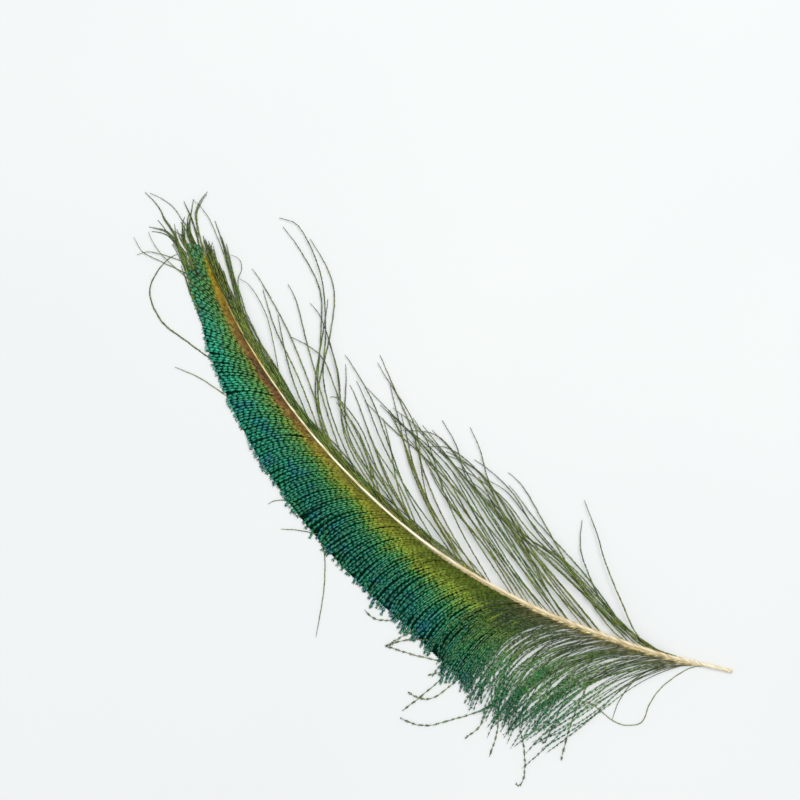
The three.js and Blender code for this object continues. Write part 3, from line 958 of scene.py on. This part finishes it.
UPPER_HERLS = [
    [(480, 579), (447, 525), (425, 475), (412, 430), (395, 390), (380, 355)],
    [(462, 568), (430, 512), (410, 465), (400, 425), (390, 385)],
    [(440, 552), (408, 495), (390, 448), (372, 400), (352, 365), (345, 355)],
    [(425, 541), (392, 485), (372, 440), (357, 400), (350, 385)],
    [(410, 530), (380, 475), (362, 430), (340, 400), (330, 397)],
    [(405, 526), (372, 480), (345, 430), (337, 370), (322, 320), (310, 303)],
    [(400, 521), (360, 487), (330, 440), (318, 395), (321, 335), (320, 290), (300, 250), (283, 227)],
    [(385, 508), (365, 450), (340, 400), (325, 362), (310, 347), (291, 337)],
]
TIP_OUTER_STRANDS = [
    [(252, 352), (216, 334), (200, 314), (193, 292), (187, 268), (180, 248), (175, 234), (165, 219),
     (158, 206), (145, 192)],
    [(248, 345), (214, 326), (197, 302), (189, 276), (181, 254), (170, 236), (158, 220)],
    [(240, 330), (209, 310), (194, 284), (185, 258), (177, 242), (166, 231), (149, 227)],
    [(236, 322), (210, 300), (197, 278), (190, 256), (184, 240), (183, 225), (183, 221)],
    [(230, 308), (210, 288), (198, 268), (189, 248), (182, 236), (174, 231)],
    [(226, 300), (209, 280), (198, 260), (191, 244), (187, 230), (187, 226)],
    [(228, 304), (208, 284), (196, 264), (187, 250), (181, 240), (177, 229)],
    [(224, 296), (208, 274), (198, 254), (192, 240), (189, 228), (190, 218)],
]
TIP_MIDDLE_STRANDS = [
    [(222, 294), (202, 262), (193, 240), (190, 225), (192, 210), (194, 199)],
    [(218, 284), (198, 255), (190, 235), (188, 222), (190, 212)],
    [(219, 288), (205, 258), (200, 238), (197, 225), (196, 212), (202, 199), (208, 192)],
    [(214, 275), (201, 250), (196, 232), (190, 215), (184, 201)],
    [(212, 270), (188, 250), (183, 240), (183, 225), (185, 217)],
    [(214, 276), (199, 254), (191, 240), (186, 230), (181, 222)],
]
TIP_INNER_STRANDS = [
    [(248, 345), (235, 290), (228, 265), (223, 245), (219, 232), (215, 221)],
    [(256, 358), (240, 300), (232, 275), (226, 255), (222, 238)],
    [(230, 308), (221, 275), (214, 258), (208, 245)],
    [(236, 322), (226, 280), (217, 262), (212, 250), (213, 242)],
    [(244, 338), (232, 300), (224, 278), (219, 262)],
]
TIP_OUTER_HAIRS = [
    [(236, 322), (215, 290), (203, 262), (195, 242), (187, 226), (182, 220), (175, 209), (164, 200),
     (150, 193)],
    [(244, 337), (215, 305), (195, 285), (178, 270), (163, 256), (153, 242), (149, 232)],
    [(240, 330), (205, 290), (190, 276), (160, 261), (143, 252), (134, 237)],
    [(236, 320), (205, 280), (190, 266), (173, 258), (150, 252), (137, 255)],
]
TIP_INNER_HAIRS = [
    [(243, 338), (232, 285), (223, 252), (217, 236), (210, 220), (201, 207), (193, 200)],
    [(247, 342), (239, 290), (239, 278), (242, 270), (241, 262), (236, 257), (230, 255)],
    [(285, 398), (271, 330), (262, 305), (250, 286), (240, 279)],
]
OUTER_LOOP = [
    [(240, 372), (213, 360), (185, 340), (165, 325), (154, 308), (150, 293), (152, 282), (160, 268),
     (170, 258), (178, 254)],
]
OUTER_HAIRS = [
    [(252, 410), (230, 398), (200, 378), (175, 367)],
    [(310, 506), (291, 502), (282, 500), (274, 501), (268, 504)],
    [(330, 536), (313, 533), (297, 530), (281, 529)],
    [(326, 510), (323, 543), (325, 560), (324, 589), (319, 621), (316, 637)],
    [(712, 666), (690, 668), (664, 685), (650, 703), (644, 719), (638, 724), (625, 725), (612, 720),
     (590, 703), (570, 700)],
    [(670, 665), (645, 672), (630, 685), (618, 703), (612, 720)],
]
OUTER_STRANDS = [
    [(520, 680), (485, 708), (450, 720), (430, 725), (415, 724), (401, 718)],
    [(480, 640), (455, 665), (440, 680), (420, 697), (403, 710)],
    [(485, 662), (455, 682), (445, 690), (432, 698), (420, 698), (408, 692)],
    [(455, 618), (430, 625), (405, 635), (386, 646)],
    [(460, 645), (430, 640), (405, 640), (386, 646)],
    [(465, 668), (445, 662), (415, 655), (386, 646)],
    [(420, 600), (395, 618), (382, 620), (372, 617), (365, 610)],
    [(470, 660), (450, 668), (440, 672), (428, 675)],
    [(495, 670), (475, 690), (464, 703)],
    [(505, 690), (490, 706), (483, 720), (478, 728), (465, 738)],
    [(510, 680), (500, 700), (498, 725), (495, 740), (489, 757)],
    [(560, 660), (535, 690), (521, 728), (523, 740), (525, 765), (523, 780), (519, 786), (516, 783)],
    [(600, 650), (570, 690), (555, 720), (545, 742), (541, 738)],
    [(615, 660), (595, 675), (580, 700), (572, 720), (566, 740), (561, 760)],
]
STRAND_STEPS = 40


def picture_lines(strands):
    return np.stack([evenly_spaced(smooth_line(from_picture(pixels)), STRAND_STEPS) for pixels in strands])


def rooted(lines):
    """Lines with their starts moved onto the shaft, and where on the shaft they start."""
    apart = np.linalg.norm(SHAFT_CURVE - lines[:, :1], axis=2)
    nearest = apart.argmin(1)
    fade = (1 - np.linspace(0, 1, lines.shape[1]))[:, None] ** 3
    moved = lines + (SHAFT_CURVE[nearest] - lines[:, 0])[:, None] * fade
    return moved, SHAFT_TRAVELLED[nearest] / SHAFT_LENGTH


COMPANION_AT = (0.05, 0.99)
COMPANION_WAVES = (0.6, 1.4)  # fewest and most along its length
COMPANION_SWAY = 0.7  # half the waves' width, as a share of how far apart the lines come
COMPANION_LENGTHS = (0.6, 1.0)  # as shares of the line's own
FEWEST_POINTS = 4


def companions(lines, at, slide, apart, rng):
    """Copies of lines that leave the shaft, which leave it nearby, meet the lines and part again."""
    count, rings = lines.shape[:2]
    share = np.linspace(0, 1, rings)
    place = np.clip(at + rng.normal(0, slide, count) / SHAFT_LENGTH, *COMPANION_AT)
    shift = on_shaft(place)[0] - lines[:, 0]
    left = directions(with_heights(lines, np.zeros((count, rings))))[1][..., :2]
    lean = rng.normal(0, apart, (count, 1)) * share**1.2
    waves, start = rng.uniform(*COMPANION_WAVES, (count, 1)), rng.random((count, 1))
    wave = COMPANION_SWAY * apart * np.sin(2 * np.pi * (waves * share + start)) * share**0.5
    fade = ((1 - share) ** 1.6)[:, None]
    near = lines + shift[:, None] * fade + left * (lean + wave)[..., None]
    kept = np.maximum((rings * rng.uniform(*COMPANION_LENGTHS, count)).astype(int), FEWEST_POINTS)
    return np.stack([evenly_spaced(line[:end], STRAND_STEPS) for line, end in zip(near, kept)]), place


def with_companions(lines, at, copies, slide, apart, rng):
    made = [companions(lines, at, slide, apart, rng) for _ in range(copies)]
    all_lines, all_at = zip((lines, at), *made)
    return np.concatenate(all_lines), np.concatenate(all_at)


def arching(lines, at, low, rise, rng):
    """Lines in space that come down from the shaft to a low height, with a rise between."""
    count = len(lines)
    share = np.linspace(0, 1, lines.shape[1])
    end = rng.uniform(*low, count)[:, None]
    start = root_height(at)[:, None]
    lift = rng.uniform(*rise, count)[:, None] * np.sin(np.pi * share)
    return with_heights(lines, end + (start - end) * (1 - share) ** 2 + lift)


def beneath_vane(lines, at, where, rise, rng):
    """Lines in space that run beneath the dense vane and rise a little where they have left it."""
    share = np.linspace(0, 1, lines.shape[1])
    start = np.maximum(root_height(at) - UNDER_DROP, UNDER_LOWEST)[:, None]
    sunk = UNDER_LOWEST + (start - UNDER_LOWEST) * np.maximum(1 - share / UNDER_FLAT_FROM, 0) ** 2
    lift = rng.uniform(*rise, (len(lines), 1))
    return with_heights(lines, sunk + lift * smoothstep(*where, share))


# ---- The inner herls ----

HERL_FLUE = SimpleNamespace(
    spacing=0.44, length=0.86, width=0.48, thickness=0.07, spread=33, droop=10, untidy=6,
    profile=[(0, 0.3), (0.06, 0.85), (0.5, 1.0), (0.85, 0.8), (1, 0.35)], full_from=None,
    rod=[(0, 0.26), (0.04, 0.24), (0.5, 0.2), (1, 0.07)],
    bead_period=[(0, 3.2)], bead_depth=0.15, bead_lift=8,
    twist=0, roll=22,
)
CLOSE_HERLS_AT = (0.36, 0.95)
CLOSE_GAPS = [(0.36, 5.0), (0.55, 3.2), (0.7, 2.0), (0.95, 1.1)]
CLOSE_STEPS = 30
CLOSE_LENGTHS = [(0.36, 60), (0.6, 66), (0.8, 44), (0.9, 24), (0.95, 12)]
CLOSE_ANGLES = [(7, 2), (8, 3), (5, 5)]  # mean and variation at the root, halfway along and at the tip
CLOSE_UNEVENNESS = 0.5  # of the gaps
CLOSE_VARIETY = (0.75, 1.15)  # of the lengths
# Each herl ends between two heights and rises on its way by a height between two others.
HERL_LOW, HERL_RISE = (0.5, 1.5), (0.2, 3.0)
CLOSE_LOW, CLOSE_RISE = (0.6, 2.4), (0.0, 0.8)
HERL_SLIDE, HERL_APART = 8, 4.5  # how far off a companion starts on the shaft, and how far apart it comes


def close_herls(rng):
    """Herls that run close beside the shaft, at gaps that close up towards the tip."""
    at = places_along(CLOSE_HERLS_AT, CLOSE_GAPS, CLOSE_UNEVENNESS, rng)
    count = len(at)
    lengths = looked_up(CLOSE_LENGTHS, at) * rng.uniform(*CLOSE_VARIETY, count)
    mean, variation = np.array(CLOSE_ANGLES, float).T
    angles = np.abs(mean + variation * rng.normal(0, 1, (count, 3)))
    return barb_lines(at, INNER, lengths, angles, CLOSE_STEPS), at


def inner_herls(material):
    rng = np.random.default_rng(HERL_SEED)
    for name, strands, copies, replaced in (
        ("inner_herls_lower", LOWER_HERLS, 2, ("inner_herls",)),
        ("inner_herls_upper", UPPER_HERLS, 2, ()),
        ("inner_herls_single", SINGLE_HERLS, 0, ()),
    ):
        lines, at = rooted(picture_lines(strands))
        lines, at = with_companions(lines, at, copies, HERL_SLIDE, HERL_APART, rng)
        shape = flue_shape(arching(lines, at, HERL_LOW, HERL_RISE, rng), at, HERL_FLUE, rng)
        make_piece(name, shape, material, replaced)
    lines, at = close_herls(rng)
    shape = flue_shape(arching(lines, at, CLOSE_LOW, CLOSE_RISE, rng), at, HERL_FLUE, rng)
    make_piece("inner_herls_close", shape, material)


# ---- The tip's tuft and the strays ----

def altered(flue, **changes):
    return SimpleNamespace(**{**vars(flue), **changes})


HAIR_FLUE = altered(HERL_FLUE, length=0.5)
STRAY_FLUE = altered(LOOSE_FLUE, bead_period=[(0, 3.8)], bead_depth=0.4, full_from=None)
TIP_SLIDE, TIP_APART = 4, 1.1
TIP_LOW, TIP_RISE = (0.6, 2.0), (0.0, 0.8)
RISING_EARLY = ((0.45, 0.7), (0.1, 0.5))  # shares of a barb between which it rises, and by how much
RISING_LATE = ((0.55, 0.8), (0.4, 1.3))
STRAY_RISE = (0.1, 0.6)  # of a stray's end above the height at which it leaves the vane
STRAY_RISING = (0.2, 0.7)  # shares of its length between which it rises
STRAY_AT = 0.3  # the place on the shaft that a stray counts as growing from


def tip_tuft(material):
    """The loose barbs in which the shaft ends."""
    rng = np.random.default_rng(TIP_SEED)
    for name, strands, copies, flue, replaced in (
        ("tip_tuft_inner_barbs", TIP_INNER_STRANDS, 2, HERL_FLUE, ("tip_tuft",)),
        ("tip_tuft_inner_hairs", TIP_INNER_HAIRS, 0, HAIR_FLUE, ()),
    ):
        lines, at = rooted(picture_lines(strands))
        lines, at = with_companions(lines, at, copies, TIP_SLIDE, TIP_APART, rng)
        shape = flue_shape(arching(lines, at, TIP_LOW, TIP_RISE, rng), at, flue, rng)
        make_piece(name, shape, material, replaced)
    for name, strands, copies, apart, flue, (where, rise) in (
        ("tip_tuft_middle_barbs", TIP_MIDDLE_STRANDS, 1, 0.6, HERL_FLUE, RISING_LATE),
        ("tip_tuft_outer_barbs", TIP_OUTER_STRANDS, 5, 1.4, HERL_FLUE, RISING_EARLY),
        ("tip_tuft_outer_hairs", TIP_OUTER_HAIRS, 0, 1.4, HAIR_FLUE, RISING_LATE),
    ):
        lines, at = rooted(picture_lines(strands))
        lines, at = with_companions(lines, at, copies, TIP_SLIDE, apart, rng)
        shape = flue_shape(beneath_vane(lines, at, where, rise, rng), at, flue, rng)
        make_piece(name, shape, material)


def stray_barbs(material):
    """The few outer barbs that stray from the vane, from where they come out of it."""
    rng = np.random.default_rng(STRAY_SEED)
    for name, strands, flue in (
        ("stray_outer_barbs", OUTER_STRANDS, STRAY_FLUE),
        ("stray_outer_loop", OUTER_LOOP, HERL_FLUE),
        ("stray_outer_hairs", OUTER_HAIRS, HAIR_FLUE),
    ):
        lines = picture_lines(strands)
        share = np.linspace(0, 1, STRAND_STEPS + 1)
        rise = rng.uniform(*STRAY_RISE, (len(lines), 1))
        lines = with_heights(lines, UNDER_LOWEST + rise * smoothstep(*STRAY_RISING, share))
        shape = flue_shape(lines, np.full(len(lines), STRAY_AT), flue, rng)
        make_piece(name, shape, material)


# ---- Studio ----

FLOOR_SIZE = 8
FLOOR_GLOW = 0.2
FLOOR_GLOW_COLOUR = (0.97, 1.0, 0.99, 1.0)
SKY_COLOUR = (0.97, 0.99, 1.0, 1.0)
SKY_STRENGTH = 0.66
SOFTBOX_SIZE = 1.8
SOFTBOX_POWER = 60
SOFTBOX_RIGHT, SOFTBOX_UP, SOFTBOX_HEIGHT = 0.8, 1.3, 2.8  # metres, in the picture and above the floor
LENS, SENSOR = 85, 36
CAMERA_SEES_TO = 30


def pale_floor():
    """A pale floor that glows a little, as a light table does."""
    bpy.ops.mesh.primitive_plane_add(size=FLOOR_SIZE, location=(0, 0, 0))
    floor = bpy.context.object
    floor.name = "floor"
    paper = Surface("pale_floor", Roughness=0.9, Specular_IOR_Level=0.1, Emission_Strength=FLOOR_GLOW)
    paper.shader.inputs["Emission Color"].default_value = FLOOR_GLOW_COLOUR
    tint = paper.ramp(paper.noise(3, 2), [(0.3, (206, 208, 208)), (0.7, (210, 212, 211))])
    floor.data.materials.append(paper.finish(tint))


def lights():
    """Even light from all around, and a softbox at the picture's upper right."""
    world = bpy.data.worlds.new("studio")
    world.use_nodes = True
    background = world.node_tree.nodes["Background"]
    background.inputs["Color"].default_value = SKY_COLOUR
    background.inputs["Strength"].default_value = SKY_STRENGTH
    bpy.context.scene.world = world

    light = bpy.data.lights.new("softbox", "AREA")
    light.shape = "SQUARE"
    light.size = SOFTBOX_SIZE
    light.energy = SOFTBOX_POWER
    softbox = bpy.data.objects.new("softbox", light)
    bpy.context.scene.collection.objects.link(softbox)
    across = SOFTBOX_RIGHT * PICTURE_RIGHT + SOFTBOX_UP * PICTURE_UP
    softbox.location = (*across, SOFTBOX_HEIGHT)
    softbox.rotation_euler = (-Vector(softbox.location)).to_track_quat("-Z", "Y").to_euler()


def camera():
    view_width = PICTURE_SIZE * MM_PER_PIXEL * METRES
    data = bpy.data.cameras.new("camera")
    data.lens = LENS
    data.sensor_width = SENSOR
    data.clip_end = CAMERA_SEES_TO
    thing = bpy.data.objects.new("camera", data)
    bpy.context.scene.collection.objects.link(thing)
    middle = (from_picture([PICTURE_MIDDLE])[0] + QUILL_END) * METRES
    thing.location = (*middle, view_width * LENS / SENSOR)
    thing.rotation_euler = (0, 0, PICTURE_TURN)
    bpy.context.scene.camera = thing


# ---- Everything together ----

camera()
pale_floor()
lights()
make_piece("feather_shaft", shaft_shape(), horn_material(), ("shaft",))
dense_vane()
loose_barbs()
herls = herl_material()
inner_herls(herls)
tip_tuft(herls)
stray_barbs(herls)

bpy.context.scene.view_settings.view_transform = "Standard"
bpy.context.view_layer.update()
